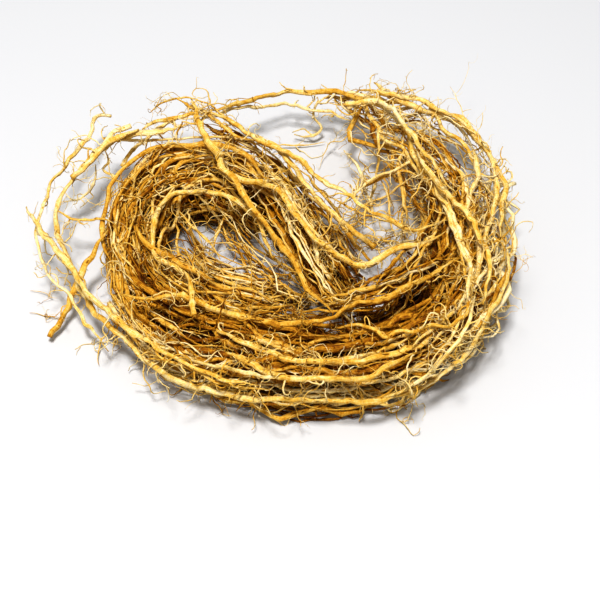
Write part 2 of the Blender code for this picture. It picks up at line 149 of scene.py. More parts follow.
# The long roots, as in the part. A route point is (x, y, z). A root thins from its radius to its tip,
# and girth is rows of (place along it, share of that size). cut lists its blunt ends, 0 for the first
# and 1 for the last. over moves its last end aside by that much, and fuzz is the share of rootlets that
# it has.
LONG_ROOTS = {
    "cut_root": {
        "radius": 1.5, "tip": 1.4, "cut": (1,), "tint": 0.66, "fuzz": 0.4,
        "route": [(-66, 6, 17), (-70, -1, 15), (-74, -8, 12), (-78, -15, 9), (-82, -22, 5), (-88, -32, 1.6)],
    },
    "short_cut_root": {
        "radius": 1.1, "tip": 1.0, "cut": (0,), "fuzz": 0.3,
        "route": [(-65, 53, 14), (-61, 59, 17), (-52, 64, 21), (-44, 70, 25), (-34, 76, 27)],
    },
    "far_left_root": {
        "radius": 0.9, "tip": 0.7, "cut": (0,), "tint": 0.78, "fuzz": 0.5,
        "route": [(-71, 79, 20), (-77, 77, 20), (-80, 60, 22), (-86, 47, 23), (-91, 34, 23), (-95, 19, 21),
                  (-95, 4, 16), (-89, -9, 10), (-81, -20, 7), (-72, -31, 5), (-62, -42, 4)],
    },
    "left_loop_root": {
        "radius": 1.6, "tip": 1.1, "tint": 0.72, "fuzz": 0.7,
        "girth": [(0, 1.0), (0.14, 1.0), (0.17, 0.62), (0.30, 0.70), (0.38, 0.90), (0.75, 0.85), (1, 0.65)],
        "route": [(-37, 58, 33), (-46, 55, 32), (-56, 56, 31), (-66, 53, 30), (-75, 43, 28), (-84, 30, 26),
                  (-88, 18, 24), (-85, 5, 22), (-80, -8, 20), (-74, -22, 18), (-67, -31, 17), (-59, -40, 17),
                  (-50, -50, 17), (-40, -59, 17), (-28, -65, 17), (-13, -69, 17), (3, -71, 18),
                  (21, -72, 18), (38, -71, 18), (53, -68, 19), (66, -61, 22), (77, -50, 28), (86, -36, 32),
                  (91, -20, 34), (92, -5, 34)],
    },
    "left_crossing_root": {
        "radius": 1.4, "tip": 1.0, "tint": 0.74, "fuzz": 0.7,
        "girth": [(0, 0.85), (0.2, 1.15), (0.42, 1.15), (0.55, 0.75), (1, 0.65)],
        "route": [(-98, 15, 30), (-92, 3, 28), (-85, -6, 27), (-76, -18, 26), (-68, -29, 25), (-59, -40, 25),
                  (-47, -50, 25), (-33, -59, 26), (-17, -64, 27), (0, -67, 27), (17, -68, 27),
                  (34, -66, 27)],
    },
    "thin_strand_root": {
        "radius": 0.9, "tip": 0.7, "tint": 0.72,
        "route": [(-32, 63, 30), (-21, 73, 27), (-6, 84, 21), (10, 87, 18), (26, 85, 16), (41, 77, 17)],
    },
    "top_strand_root": {
        "radius": 1.2, "tip": 1.0, "tint": 0.70,
        "route": [(-26, 67, 33), (-14, 79, 28), (0, 89, 23), (13, 92, 22), (27, 89, 24), (39, 81, 28),
                  (50, 70, 32), (57, 55, 33), (60, 40, 34), (65, 24, 34), (70, 9, 34)],
    },
    "cut_end_root": {
        "radius": 1.2, "tip": 1.2, "cut": (1,),
        "route": [(-9, 54, 34), (2, 43, 34), (11, 32, 33), (17, 22, 32), (24, 13, 29), (32, 7, 26),
                  (43, 2, 20)],
    },
    "crescent_root": {
        "radius": 1.4, "tip": 1.1, "tint": 0.62,
        "route": [(-22, 32, 36), (-9, 22, 36), (3, 18, 36), (11, 5, 35), (19, -6, 33), (30, -14, 30),
                  (40, -15, 29), (51, -9, 31), (62, -8, 34), (70, -4, 35)],
    },
    "diagonal_root": {
        "radius": 1.6, "tip": 1.1, "tint": 0.64,
        "route": [(-34, 68, 38), (-31, 55, 39), (-25, 42, 39), (-19, 27, 39), (-11, 12, 39), (-3, 0, 38),
                  (4, -12, 36), (11, -24, 34), (18, -34, 32), (24, -41, 30)],
    },
    "upper_crossing_root": {
        "radius": 1.2, "tip": 0.9,
        "route": [(-28, 63, 37), (-15, 55, 37), (-2, 44, 37), (10, 35, 37), (20, 24, 37), (31, 14, 37),
                  (43, 3, 37), (54, -3, 37), (66, -3, 38)],
    },
    "stub_root": {
        "radius": 1.6, "tip": 1.5, "cut": (1,), "tint": 0.56, "over": (0, -6.3, 7.5),
        "route": [(-35, -16, 25), (-31, -23, 26), (-29, -31, 26), (-28, -38, 26)],
    },
    "pocket_root": {
        "radius": 1.3, "tip": 1.0, "tint": 0.50,
        "route": [(-57, -31, 29), (-45, -33, 29), (-34, -31, 29), (-22, -37, 29), (-10, -41, 28),
                  (6, -44, 28), (22, -43, 30), (37, -39, 36), (50, -34, 38), (62, -27, 36), (73, -17, 34)],
    },
    "front_sweep_root": {
        "radius": 1.4, "tip": 1.0, "tint": 0.56,
        "route": [(-20, -45, 27), (-8, -53, 27), (4, -59, 27), (17, -61, 28), (31, -61, 28), (45, -58, 29),
                  (57, -52, 30), (68, -42, 32)],
    },
    "right_root": {
        "radius": 1.4, "tip": 1.1, "tint": 0.74,
        "route": [(66, 28, 34), (70, 12, 34), (74, -3, 34), (77, -17, 34), (76, -31, 34), (72, -44, 33),
                  (60, -55, 31)],
    },
    "right_wall_root": {
        "radius": 1.4, "tip": 1.1, "tint": 0.76,
        "route": [(60, 38, 36), (68, 16, 37), (76, 3, 37), (82, -12, 36), (83, -27, 36), (79, -40, 35)],
    },
    "crown_root": {
        "radius": 1.4, "tip": 1.0, "tint": 0.74,
        "route": [(40, 88, 27), (54, 82, 29), (69, 76, 30), (83, 62, 31), (92, 46, 31), (95, 26, 33),
                  (93, 6, 34), (90, -8, 34)],
    },
    "crown_cut_root": {
        "radius": 1.6, "tip": 1.1, "cut": (0,), "tint": 0.68,
        "girth": [(0, 0.95), (0.25, 0.82), (0.6, 0.80), (1, 0.85)],
        "route": [(33, 71, 28), (45, 72, 29), (53, 62, 32), (58, 45, 34), (66, 24, 36), (73, 8, 37)],
    },
}

# Loose roots that lie over the rest, by piece. Each is its radius, its route of (x, y, z) and, where an
# end is cut off blunt, that end: 0 for the first and 1 for the last.
LOOSE_ROOTS = {
    "eye_loose_roots": [
        (0.7, [(-37, 16, 25), (-31, 9, 22), (-23, 3, 18), (-20, -2, 16)]),
        (0.6, [(-25, 6, 10), (-23, 12, 8), (-19, 21, 7), (-14, 24, 8), (-9, 20, 12)]),
        (1.3, [(-45, 17, 28), (-39, 21, 30), (-27, 21, 31), (-18, 19, 32), (-11, 13, 32), (-5, 5, 32),
               (-2, -4, 31), (2, -12, 30)]),
        (1.3, [(-54, 8, 26), (-52, 2, 25), (-48, -3, 25), (-41, -6, 24), (-35, -9, 22), (-22, -16, 20)]),
        (1.3, [(-39, 27, 28), (-44, 18, 27), (-47, 9, 26), (-47, 1, 25), (-44, -8, 24), (-36, -14, 23),
               (-28, -20, 22)]),
    ],
    "slope_loose_roots": [
        (0.9, [(-20, 29, 33), (-11, 27, 31), (-2, 25, 30), (3, 25, 29), (8, 17, 27), (13, 10, 25),
               (19, 4, 22), (27, 0, 18), (36, -4, 16), (48, -1, 18), (54, 1, 22), (60, -2, 26)]),
        (0.7, [(-3, 34, 30), (4, 26, 24), (11, 16, 18), (17, 5, 14), (24, -3, 12)]),
        (0.6, [(7, 34, 26), (13, 27, 20), (20, 18, 14), (25, 8, 10), (30, 0, 9)]),
        (0.6, [(13, 30, 20), (15, 23, 16), (14, 14, 15), (17, 6, 13), (20, -3, 12)]),
        (0.5, [(20, 30, 14), (24, 24, 10), (25, 16, 7), (24, 7, 6)]),
        (0.4, [(28, 7, 6), (32, 18, 5), (35, 25, 5), (39, 28, 5), (44, 32, 6)]),
        (0.4, [(35, 15, 3), (41, 16, 3), (47, 19, 4), (52, 19, 6), (57, 18, 10)]),
    ],
    "top_loose_roots": [
        (1.1, [(35, 90, 24), (40, 82, 24), (46, 69, 25), (49, 57, 26), (56, 49, 27), (60, 38, 28),
               (65, 28, 30), (69, 19, 31)]),
        (1.3, [(47, 94, 24), (56, 82, 26), (67, 74, 28), (77, 71, 29), (85, 63, 30), (89, 51, 31),
               (93, 38, 32), (93, 25, 32), (91, 13, 32), (87, 1, 31), (83, -12, 30)]),
        (1.0, [(60, 84, 22), (70, 77, 24), (75, 65, 25), (82, 56, 26), (86, 42, 27), (87, 31, 28),
               (85, 19, 29)]),
        (0.9, [(41, 89, 6), (49, 77, 6), (59, 65, 8), (67, 53, 12), (69, 44, 16)]),
        (0.8, [(41, 74, 16), (44, 69, 12), (46, 66, 9), (47, 62, 7), (47, 53, 6), (45, 44, 6), (44, 39, 5),
               (42, 33, 4)]),
        (0.9, [(57, 49, 22), (54, 41, 20), (56, 33, 18), (57, 25, 18), (57, 14, 22)]),
        (0.9, [(31, 22, 24), (37, 31, 22), (45, 38, 22), (53, 39, 23), (60, 40, 25), (66, 38, 28)]),
        (0.8, [(28, 89, 24), (23, 88, 21), (20, 87, 17), (20, 86, 12), (23, 84, 8), (23, 83, 6), (19, 81, 5),
               (11, 83, 4)]),
        (0.5, [(1, 73, 4), (6, 77, 3), (14, 78, 2), (19, 79, 2), (25, 80, 2)]),
        (0.3, [(39, 72, 18), (34, 70, 16), (32, 69, 14), (27, 72, 10), (26, 71, 7), (24, 68, 3),
               (22, 63, 1)]),
        (0.25, [(80, 87, 30), (82, 82, 29), (84, 74, 29), (86, 67, 29), (90, 60, 29)]),
    ],
    "gap_loose_roots": [
        (0.7, [(33, 63, 14), (38, 54, 14), (40, 47, 14), (41, 40, 13), (43, 31, 12), (44, 23, 10)]),
        (0.8, [(35, 35, 18), (42, 38, 18), (49, 39, 20), (57, 38, 22), (63, 32, 24)]),
        (0.6, [(30, 20, 8), (35, 26, 10), (41, 32, 12), (49, 35, 14), (55, 35, 18), (61, 35, 22)]),
        (0.5, [(25, 10, 8), (34, 17, 6), (43, 19, 6), (51, 15, 8), (58, 9, 12)]),
        (0.8, [(13, 41, 24), (20, 33, 20), (27, 27, 16), (32, 20, 12), (38, 13, 8)]),
        (0.7, [(49, 47, 16), (55, 41, 14), (57, 30, 14), (55, 20, 14), (57, 10, 14)]),
        (0.6, [(46, 43, 18), (49, 36, 16), (50, 29, 14), (51, 22, 12), (53, 12, 12)]),
        (0.5, [(25, 26, 24), (31, 23, 22), (38, 20, 20), (46, 18, 18), (53, 13, 20), (58, 5, 22)]),
    ],
    "knot_loose_roots": [
        (0.8, [(-41, 73, 36), (-37, 71, 35), (-34, 68, 35), (-29, 65, 36), (-24, 59, 37), (-18, 52, 37),
               (-11, 47, 37), (-5, 47, 36)]),
        (0.5, [(-52, 70, 30), (-48, 74, 31), (-41, 75, 33), (-35, 74, 34), (-27, 69, 36), (-22, 64, 36),
               (-14, 55, 35)]),
        (1.1, [(-55, 61, 28), (-51, 63, 30), (-45, 64, 32), (-38, 63, 34), (-32, 65, 35), (-27, 64, 36)]),
        (0.7, [(-32, 60, 34), (-38, 60, 30), (-40, 56, 28), (-39, 49, 27)]),
    ],
    "left_loose_roots": [
        (1.5, [(-56, 56, 34), (-63, 52, 33), (-69, 49, 32), (-73, 43, 31), (-78, 37, 30), (-83, 32, 29)], 1),
        (0.9, [(-60, 61, 31), (-66, 57, 31), (-69, 52, 30), (-73, 45, 28), (-79, 39, 26), (-83, 32, 25)], 0),
        (0.7, [(-72, 59, 25), (-63, 58, 26), (-52, 56, 27), (-41, 55, 28), (-30, 54, 30), (-23, 54, 31),
               (-13, 52, 32), (-3, 50, 32), (1, 46, 32)], 0),
        (0.7, [(-74, 46, 22), (-74, 42, 20), (-76, 38, 17), (-79, 35, 15), (-83, 33, 14), (-86, 34, 15),
               (-88, 37, 17)]),
        (0.7, [(-71, 53, 24), (-70, 50, 20), (-72, 47, 18), (-67, 43, 18), (-66, 38, 18), (-62, 34, 20)]),
        (0.4, [(-66, 38, 18), (-67, 34, 16), (-67, 29, 16), (-65, 22, 17)]),
        (0.7, [(-88, 18, 24), (-83, 15, 23), (-78, 14, 22), (-73, 14, 20), (-68, 12, 19), (-62, 8, 19)]),
        (0.4, [(-87, -4, 6), (-84, -5, 7), (-82, -9, 8), (-79, -13, 9), (-75, -15, 10)]),
        (0.25, [(-98, -18, 1), (-94, -19, 1), (-89, -21, 2), (-86, -21, 3), (-83, -18, 5)]),
        (0.25, [(-99, -6, 1), (-93, -8, 2), (-90, -11, 2), (-87, -12, 3)]),
        (0.5, [(-63, -29, 10), (-64, -32, 7), (-67, -34, 4), (-68, -39, 2), (-67, -44, 1)]),
    ],
    "front_loose_roots": [
        (0.9, [(-47, -48, 27), (-43, -54, 27), (-37, -58, 27), (-29, -62, 27), (-21, -66, 27),
               (-14, -69, 27), (-4, -71, 27)]),
        (0.7, [(-45, -50, 25), (-41, -57, 25), (-34, -60, 24), (-27, -64, 24), (-20, -67, 24),
               (-11, -70, 24), (0, -71, 24)]),
        (0.4, [(-11, -64, 6), (-5, -64, 2), (2, -67, 1), (11, -66, 1), (20, -64, 1), (26, -64, 4)]),
        (0.6, [(21, -64, 6), (27, -65, 3), (33, -67, 2), (36, -68, 1), (34, -71, 1)]),
        (0.5, [(29, -65, 3), (33, -64, 2), (38, -65, 1), (40, -67, 1)]),
        (0.7, [(-42, -54, 9), (-38, -56, 5), (-32, -58, 3), (-25, -58, 2), (-18, -62, 6)]),
        (0.7, [(-3, -62, 6), (-5, -63, 3), (-9, -65, 2), (-13, -67, 1)]),
        (0.5, [(27, -65, 6), (31, -65, 4), (34, -66, 3), (35, -69, 2), (35, -71, 1)]),
        (0.6, [(54, -58, 9), (59, -56, 5), (63, -55, 3), (66, -57, 2)]),
        (0.4, [(30, -64, 10), (36, -65, 6), (42, -65, 4), (47, -66, 1), (51, -64, 3), (55, -63, 6),
               (57, -61, 10)]),
        (1.4, [(-16, -56, 27), (-7, -61, 27), (0, -65, 27), (5, -67, 27), (11, -68, 27), (19, -68, 28),
               (29, -68, 28), (36, -68, 28), (41, -65, 29), (47, -62, 30), (54, -59, 31)]),
        (1.2, [(-11, -46, 22), (-5, -49, 22), (3, -52, 23), (12, -54, 23), (19, -57, 23), (28, -57, 24),
               (36, -56, 25), (45, -54, 27), (53, -50, 30)]),
        (0.9, [(25, -44, 26), (32, -45, 28), (39, -49, 31), (43, -53, 32), (48, -51, 33), (54, -52, 34),
               (60, -51, 35), (67, -51, 35), (73, -45, 35), (75, -39, 35), (75, -30, 35), (74, -23, 36),
               (74, -14, 36)]),
        (1.2, [(-22, -27, 24), (-17, -31, 24), (-12, -38, 24), (-8, -44, 25), (-2, -49, 25), (6, -52, 25),
               (13, -55, 25)]),
    ],
    "right_loose_roots": [
        (0.9, [(46, -72, 22), (55, -68, 26), (62, -63, 30), (69, -55, 33), (75, -44, 34), (78, -33, 35)]),
        (0.7, [(41, -71, 18), (52, -68, 22), (60, -63, 27), (65, -56, 31), (69, -49, 34), (72, -39, 36)]),
        (1.2, [(76, -33, 34), (80, -27, 33), (85, -21, 32), (89, -15, 30), (94, -11, 29)]),
        (0.4, [(81, -43, 30), (84, -35, 28), (88, -27, 26), (91, -22, 25), (94, -17, 24)]),
        (1.2, [(86, 45, 32), (86, 31, 33), (81, 18, 33), (79, 7, 34), (81, -5, 34), (81, -15, 34),
               (79, -26, 34), (73, -37, 34), (66, -46, 34), (59, -52, 33), (52, -57, 31)]),
        (1.3, [(69, 16, 34), (71, 6, 35), (73, -4, 35), (74, -15, 36), (77, -23, 36), (74, -33, 36),
               (73, -40, 35)]),
    ],
}

# The tint of a loose piece and its share of rootlets, where they aren't the usual ones.
LOOSE_LOOK = (0.66, 1.0)
LOOSE_LOOKS = {
    "top_loose_roots": (0.72, 1.0), "right_loose_roots": (0.76, 1.5), "gap_loose_roots": (0.68, 1.0),
    "left_loose_roots": (0.74, 0.4), "front_loose_roots": (0.61, 1.0),
}

# Thin loose layers that carry roots from one bunch's end to the next, with a bunch's routes and keys.
# roots is how many there are, and thick the share of them that are thick.
STREAMS = {
    "left_turn": {
        "half_width": 6.5, "tint": 0.58, "roots": 26,
        "route": [(-8, -54, 6, 24), (-26, -50, 5, 24), (-41, -41, 4, 24), (-52, -28, 4, 23),
                  (-58, -10, 3, 24), (-59, 8, 3, 25), (-57, 24, 3, 27), (-49, 37, 4, 29), (-38, 46, 5, 31),
                  (-24, 49, 6, 32)],
    },
    "left_shore": {
        "half_width": 5.0, "tint": 0.34, "roots": 16,
        "route": [(8, -42, 8, 24), (-10, -38, 6, 24), (-27, -34, 4, 24), (-42, -25, 4, 24),
                  (-52, -12, 4, 24), (-56, 4, 4, 25), (-54, 20, 4, 27), (-44, 32, 5, 29), (-30, 38, 5, 30)],
    },
    "top_turn": {
        "half_width": 7.0, "tint": 0.82, "roots": 10, "wild": 1.8, "thick": 0.3,
        "route": [(84, -8, 10, 32), (84, 12, 10, 32), (79, 32, 10, 31), (70, 50, 11, 30), (58, 66, 13, 29),
                  (45, 80, 15, 28), (30, 89, 16, 26)],
    },
    "gap_turn": {
        "half_width": 7.0, "tint": 0.78, "roots": 6, "wild": 1.8, "thick": 0.3,
        "route": [(70, 4, 8, 30), (69, 20, 8, 30), (64, 36, 9, 29), (56, 50, 10, 28), (47, 64, 12, 27),
                  (39, 78, 14, 26)],
    },
    "front_shore": {
        "half_width": 3.0, "tint": 0.62, "roots": 9, "thick": 0.12, "wild": 1.6,
        "route": [(-22, -59, 1, 9), (-14, -61.5, 0.5, 9), (-4, -64, 0.5, 9), (8, -66, 0.5, 9),
                  (21, -66, 0.5, 9), (34, -65, 0.5, 10), (47, -62, 1, 12)],
    },
    "edge_belt": {
        "half_width": 4.0, "tint": 0.62, "roots": 22, "thick": 0.15, "wild": 0.8,
        "route": [(-21, 58, 22, 34), (-12, 53, 18, 32), (-3, 49, 14, 28), (5, 43, 10, 24), (13, 35, 7, 20),
                  (20, 27, 5, 17), (27, 17, 3, 14), (34, 7, 2, 13)],
    },
    "slope": {
        "half_width": 7.0, "tint": 0.42, "roots": 30, "thick": 0.15,
        "route": [(-8, 38, 8, 26), (4, 29, 4, 22), (13, 17, 2, 18), (21, 3, 1, 15), (31, -12, 1, 14)],
    },
    "eye_net": {
        "half_width": 8.0, "tint": 0.68, "roots": 8, "thick": 0.13, "wild": 1.0,
        "route": [(-36, 20, 4, 20), (-29, 10, 2, 14), (-19, 4, 2, 12), (-8, -1, 2, 14), (4, -10, 3, 18)],
    },
    "eye_side": {
        "half_width": 6.0, "tint": 0.70, "roots": 12, "thick": 0.09, "wild": 1.0,
        "route": [(-20, 26, 6, 24), (-12, 14, 4, 20), (-4, 3, 4, 18), (4, -8, 5, 20), (12, -20, 8, 24)],
    },
    "pocket_back": {
        "half_width": 5.0, "tint": 0.35, "roots": 12,
        "route": [(12, -36, 8, 30), (28, -36, 10, 32), (44, -32, 10, 34), (57, -22, 10, 34),
                  (67, -8, 10, 33), (72, 8, 10, 32)],
    },
}

# Neighbouring bunches, and how many roots pass between the two.
CROSSINGS = (
    ("diagonal_bunch", "eye_bunch", 34),
    ("eye_bunch", "front_bunch", 30),
    ("eye_bunch", "inner_bunch", 8),
    ("inner_bunch", "eye_floor_bunch", 8),
    ("front_bunch", "outer_bunch", 54),
    ("inner_right_bunch", "front_bunch", 30),
    ("crown_bunch", "front_bunch", 14),
    ("crown_bunch", "outer_bunch", 10),
)

# How near two bunches' middles are where roots cross between them, how far the nearest point may jump
# from one place to the next, and the longest crossing root.
BESIDE = 19
JUMP = 5
LONGEST_CROSSING = 150

# How far a bunch's roots may run past its ends, and the turn from one root to the next round its section.
OVERSHOOT = 12.0
EVEN_TURN = 2.39996

# A bunch's roots by thickness: how many for each millimetre of its size, least and greatest radius,
# step, sides, how ribbed they are, and whether their ends are blunt.
THICKNESSES = (
    (0.32, 0.95, 1.4, 3.0, 8, 0.10, True),
    (1.0, 0.5, 0.95, 2.6, 5, 0.06, False),
    (2.1, 0.22, 0.48, 2.4, 4, 0.0, False),
)

# Uneven bends across roots, as rows of a length and a height. Those of a bunch's roots are multiplied by
# MOST_BENT for the thinnest, and by less for thicker ones, as BEND_EASE says.
BUNCH_BENDS = ((30, 0.9), (14, 0.62), (7, 0.36))
CROSSING_BENDS = ((26, 0.9), (12, 0.65), (6, 0.28))
STREAM_BENDS = ((28, 1.3), (13, 1.0), (6, 0.34))
LONG_BENDS = ((30, 0.40), (13, 0.50), (6, 0.36))
LOOSE_BENDS = ((20, 0.5), (9, 0.35), (5, 0.15))
MOST_BENT = 3.1
BEND_EASE = 1.2

# A blunt end's size at its face and its rim, how far the face stands out, and how dark it is at the face,
# at the rim and just behind it.
CUT_FACE = 0.45
CUT_RIM = 0.88
CUT_RISE = 0.12
CUT_MARKS = (0.15, 1.0, 0.4)

# How often the foot of a lost rootlet makes a knob on a root, and how much it adds to the radius.
KNOB_SHARE = 0.09
KNOB_SIZES = (0.10, 0.38)

# How far a root's ribs turn round it in a millimetre.
RIB_TURN = 0.10

# The two kinds of rootlet. kink is how sharply they turn at each place, sag how they droop, and out how
# squarely they leave their root.
TWIG = {"length": (5, 22), "radius": (0.2, 0.52), "kink": 0.38, "sag": 0.03, "out": 0.6, "places": 13}
HAIR = {"length": (3, 9), "radius": (0.12, 0.21), "kink": 0.5, "sag": 0.02, "out": 0.7, "places": 8}

# How many twigs and hairs grow: for each millimetre of a bunch, for each stretch of so many places of a
# long root, for each loose root, and on all the roots that join bunches.
ON_A_BUNCH = (1.9, 2.5)
ON_A_STRETCH = (11, 22)
STRETCH_PLACES = 77
ON_A_LOOSE_ROOT = (8, 18)
ON_THE_JOINING_ROOTS = (1700, 1000)

# How much of its last turn a rootlet keeps, how it's drawn along its root, how near a bunch's middle
# its tip stays, and the share that stray further.
KEPT_TURN = 0.35
DRAWN_ALONG = 0.06
TIP_REACH = 7.0
STRAYS = 0.12

# The space that rootlets stay in, a little more than the part's box.
LOWEST = cad_box[0] / MM + PLAN_CENTRE - [6, 6, 1]
HIGHEST = cad_box[1] / MM + PLAN_CENTRE + [6, 6, 6]

# The bark's colours, from the dark of its scars, of the painted shade in its wrinkles' furrows and of the
# painted shade deep in the bunches, to its palest places.
BARK = [(0.00, (0.090, 0.025, 0.002)), (0.20, (0.270, 0.100, 0.006)), (0.42, (0.580, 0.285, 0.022)),
        (0.62, (0.770, 0.485, 0.095)), (0.82, (0.880, 0.680, 0.300)), (1.00, (0.930, 0.800, 0.510))]

# The picture: its side and its shift in pixels, the millimetres in a pixel at the hank, how steeply and
# from how far off the camera looks, and the height that it aims at.
PICTURE_SIDE = 600
SHIFT = (30, -38)
PIXEL = 0.41
CAMERA_RISE = math.radians(50)
CAMERA_DISTANCE = 0.5
AIM_HEIGHT = 12.0


# Routes and the bunches' shape

def smooth_route(points, step):
    """Points about a step apart on the Catmull-Rom curve through the given ones, with all their numbers."""
    points = np.array(points, float)
    before, after = points[[0, *range(len(points) - 2)]], points[[*range(2, len(points)), -1]]
    t = np.arange(FINE_STEPS)[None, :, None] / FINE_STEPS
    a, b, c, d = (p[:, None] for p in (before, points[:-1], points[1:], after))
    squared, cubed = 2 * a - 5 * b + 4 * c - d, 3 * b - a - 3 * c + d
    fine = 0.5 * (2 * b + (c - a) * t + squared * t ** 2 + cubed * t ** 3)
    fine = np.concatenate([fine.reshape(-1, points.shape[1]), points[-1:]])
    lengths = np.concatenate([[0], np.cumsum(np.linalg.norm(np.diff(fine[:, :3], axis=0), axis=1))])
    count = max(3, round(lengths[-1] / step))
    wanted = np.linspace(0, lengths[-1], count + 1)
    return np.stack([np.interp(wanted, lengths, column) for column in fine.T], axis=1)


def unit(vectors):
    """The vectors at length one."""
    return vectors / np.maximum(np.linalg.norm(vectors, axis=-1, keepdims=True), 1e-9)


class Bunch:
    """A bunch's line and its oval section, at any distance along it."""

    def __init__(self, rows, step=BUNCH_STEP):
        route = [(x, y, (low + high) / 2, (high - low) / 2) for x, y, low, high in rows["route"]]
        places = smooth_route(route, step)
        share = np.linspace(0, 1, len(places))
        drawn = np.minimum(1.0, LEAST_END + 3.0 * np.minimum(share, 1 - share))
        self.centre = places[:, :3]
        self.half_width = rows["half_width"] * drawn
        self.half_height = places[:, 3] * drawn
        self.along = unit(np.gradient(self.centre, axis=0) * [1, 1, 0])
        self.side = np.stack([self.along[:, 1], -self.along[:, 0], np.zeros(len(places))], axis=1)
        steps = np.linalg.norm(np.diff(self.centre, axis=0), axis=1)
        self.distance = np.concatenate([[0], np.cumsum(steps)])
        self.length = self.distance[-1]
        self.size = self.half_width.mean() + self.half_height.mean()
        self.tint, self.end_tint = rows["tint"], rows.get("end_tint", rows["tint"])
        self.lean = rows.get("lean", 1.0)
        self.fullness = rows.get("fullness", 1.0)
        self.wild = rows.get("wild", 0.0)

    def read(self, column, s):
        """The column's value at distances s, which is held past the ends."""
        if column.ndim == 1:
            return np.interp(s, self.distance, column)
        return np.stack([np.interp(s, self.distance, c) for c in column.T], axis=-1)

    def point(self, s, angle, share, inset):
        """Places at distances s, at an angle round the section and a share of its radius."""
        past = np.maximum(s - self.length, 0) - np.maximum(-s, 0)
        centre = self.read(self.centre, s) + self.read(self.along, s) * past[..., None]
        across = np.cos(angle) * share * (self.read(self.half_width, s) - inset)
        up = np.sin(angle) * share * (self.read(self.half_height, s) - inset)
        return centre + self.read(self.side, s) * across[..., None] + UP * up[..., None]

    def ovals(self):
        """The bunch's sections as rows of a middle, a half width and a half height."""
        return np.column_stack([self.centre, self.half_width, self.half_height])


def support(lines, radii, laid):
    """The height that each place's middle needs to lie over everything laid so far."""
    flat, size = lines.reshape(-1, 3), radii.reshape(-1)
    height = np.zeros(len(flat))
    for start in range(0, len(flat), AT_ONCE):
        part = slice(start, start + AT_ONCE)
        away = (flat[part, 0:1] - laid[:, 0]) ** 2 + (flat[part, 1:2] - laid[:, 1]) ** 2
        share = 1 - away / (laid[:, 3] + size[part, None]) ** 2
        rise = laid[:, 2] + (laid[:, 4] + size[part, None]) * np.sqrt(np.maximum(share, 0))
        height[part] = np.where(share > 0, rise, 0).max(axis=1)
    return height.reshape(lines.shape[:2])


def settled(lines, radii, laid, spread):
    """The lines lifted in smooth rises over what lies under them."""
    lift = np.maximum(support(lines, radii, laid) - lines[..., 2], 0)
    for blend in (np.max, np.mean):
        padded = np.pad(lift, ((0, 0), (spread, spread)), mode="edge")
        lift = blend(np.lib.stride_tricks.sliding_window_view(padded, 2 * spread + 1, axis=1), axis=-1)
    return lines + UP * lift[..., None]


def laid_over(points, radius, laid):
    """The points lifted, in one smooth rise, over what they would run into, as the part's solids are."""
    size = np.full((1, len(points)), radius + GAP)
    lift = np.maximum(support(points[None], size, laid)[0] - points[:, 2], 0)
    count = len(points)
    around = [slice(max(0, i - CLIMB_POINTS), min(count, i + CLIMB_POINTS + 1)) for i in range(count)]
    widest = np.array([lift[near].max() for near in around])
    smooth = np.array([widest[near].mean() for near in around])
    return points + UP * np.maximum(smooth, lift)[:, None]


def long_root_points(root, draw, laid):
    """A long root's line, with the same wander and climbs as its solid."""
    phases = [draw.uniform(0, math.tau) for _ in WANDER_LENGTHS]
    places = smooth_route(root["route"], LONG_STEP)
    ahead = np.concatenate([places[1:], places[-1:]]) - np.concatenate([places[:1], places[:-1]])
    sides = unit(np.stack([ahead[:, 1], -ahead[:, 0], np.zeros(len(ahead))], axis=1))
    s = np.arange(len(places)) * LONG_STEP
    wander = sum(np.sin(math.tau * s / length + phase) for length, phase in zip(WANDER_LENGTHS, phases))
    return laid_over(places + sides * (WANDER * wander / 2)[:, None], root["radius"], laid)


# Crooked lines

def waves(s, rng, *rows):
    """For each root, a sum of uneven bends of about these (length, height) rows at distances s."""
    total = np.zeros(s.shape)
    for length, height in rows:
        stretch = length * rng.uniform(0.75, 1.3, (len(s), 1))
        place = (s - s.min()) * 2 / stretch + rng.uniform(0, 1, (len(s), 1))
        before = place.astype(int)
        share = place - before
        bends = rng.normal(0, 0.75 * height, (len(s), before.max() + 2))
        total += np.take_along_axis(bends, before, 1) * (1 - share)
        total += np.take_along_axis(bends, before + 1, 1) * share
    return total


def distances(lines):
    """How far along its root each point is."""
    return np.cumsum(np.linalg.norm(np.diff(lines, axis=1, prepend=lines[:, :1]), axis=2), axis=1)


def crook(lines, rng, *rows, gain=1.0):
    """The lines with uneven bends across them."""
    s = distances(lines)
    heading = unit(np.gradient(lines, axis=1))
    side = unit(np.cross(heading, UP + 0.01))
    other = np.cross(heading, side)
    across, along = waves(s, rng, *rows) * gain, waves(s, rng, *rows) * gain
    return lines + side * across[..., None] + other * along[..., None]


def above_floor(lines, radii):
    """The lines raised where a root would sink into the surface."""
    lines = lines.copy()
    lines[..., 2] = np.maximum(lines[..., 2], 1.2 * radii + 0.1)
    return lines


def tapered(count, places, base, tip_share, rng):
    """Radii that thin towards one end or the other."""
    share = np.linspace(0, 1, places)[None]
    share = np.where(rng.random((count, 1)) < 0.5, 1 - share, share)
    return np.asarray(base).reshape(-1, 1) * (1 - (1 - tip_share) * share)


def lumpy(lines, radii, rng, swell=0.09):
    """The radii with slow swellings and, here and there, the knob of a rootlet's foot."""
    s = distances(lines)
    knobs = rng.random(radii.shape) < KNOB_SHARE
    shape = 1 + waves(s, rng, (24, swell), (9, swell)) + knobs * rng.uniform(*KNOB_SIZES, radii.shape)
    return radii * np.clip(shape, 0.65, 1.5)


def thinned(lines, radii, reach, ends=(True, True)):
    """The radii drawn in towards the ends that aren't cut."""
    s = distances(lines)
    for end, away in zip(ends, (s, s[:, -1:] - s)):
        end = np.reshape(end, (-1, 1))
        radii = radii * np.where(end, np.minimum(1, 0.3 + 0.7 * away / reach), 1)
    return radii


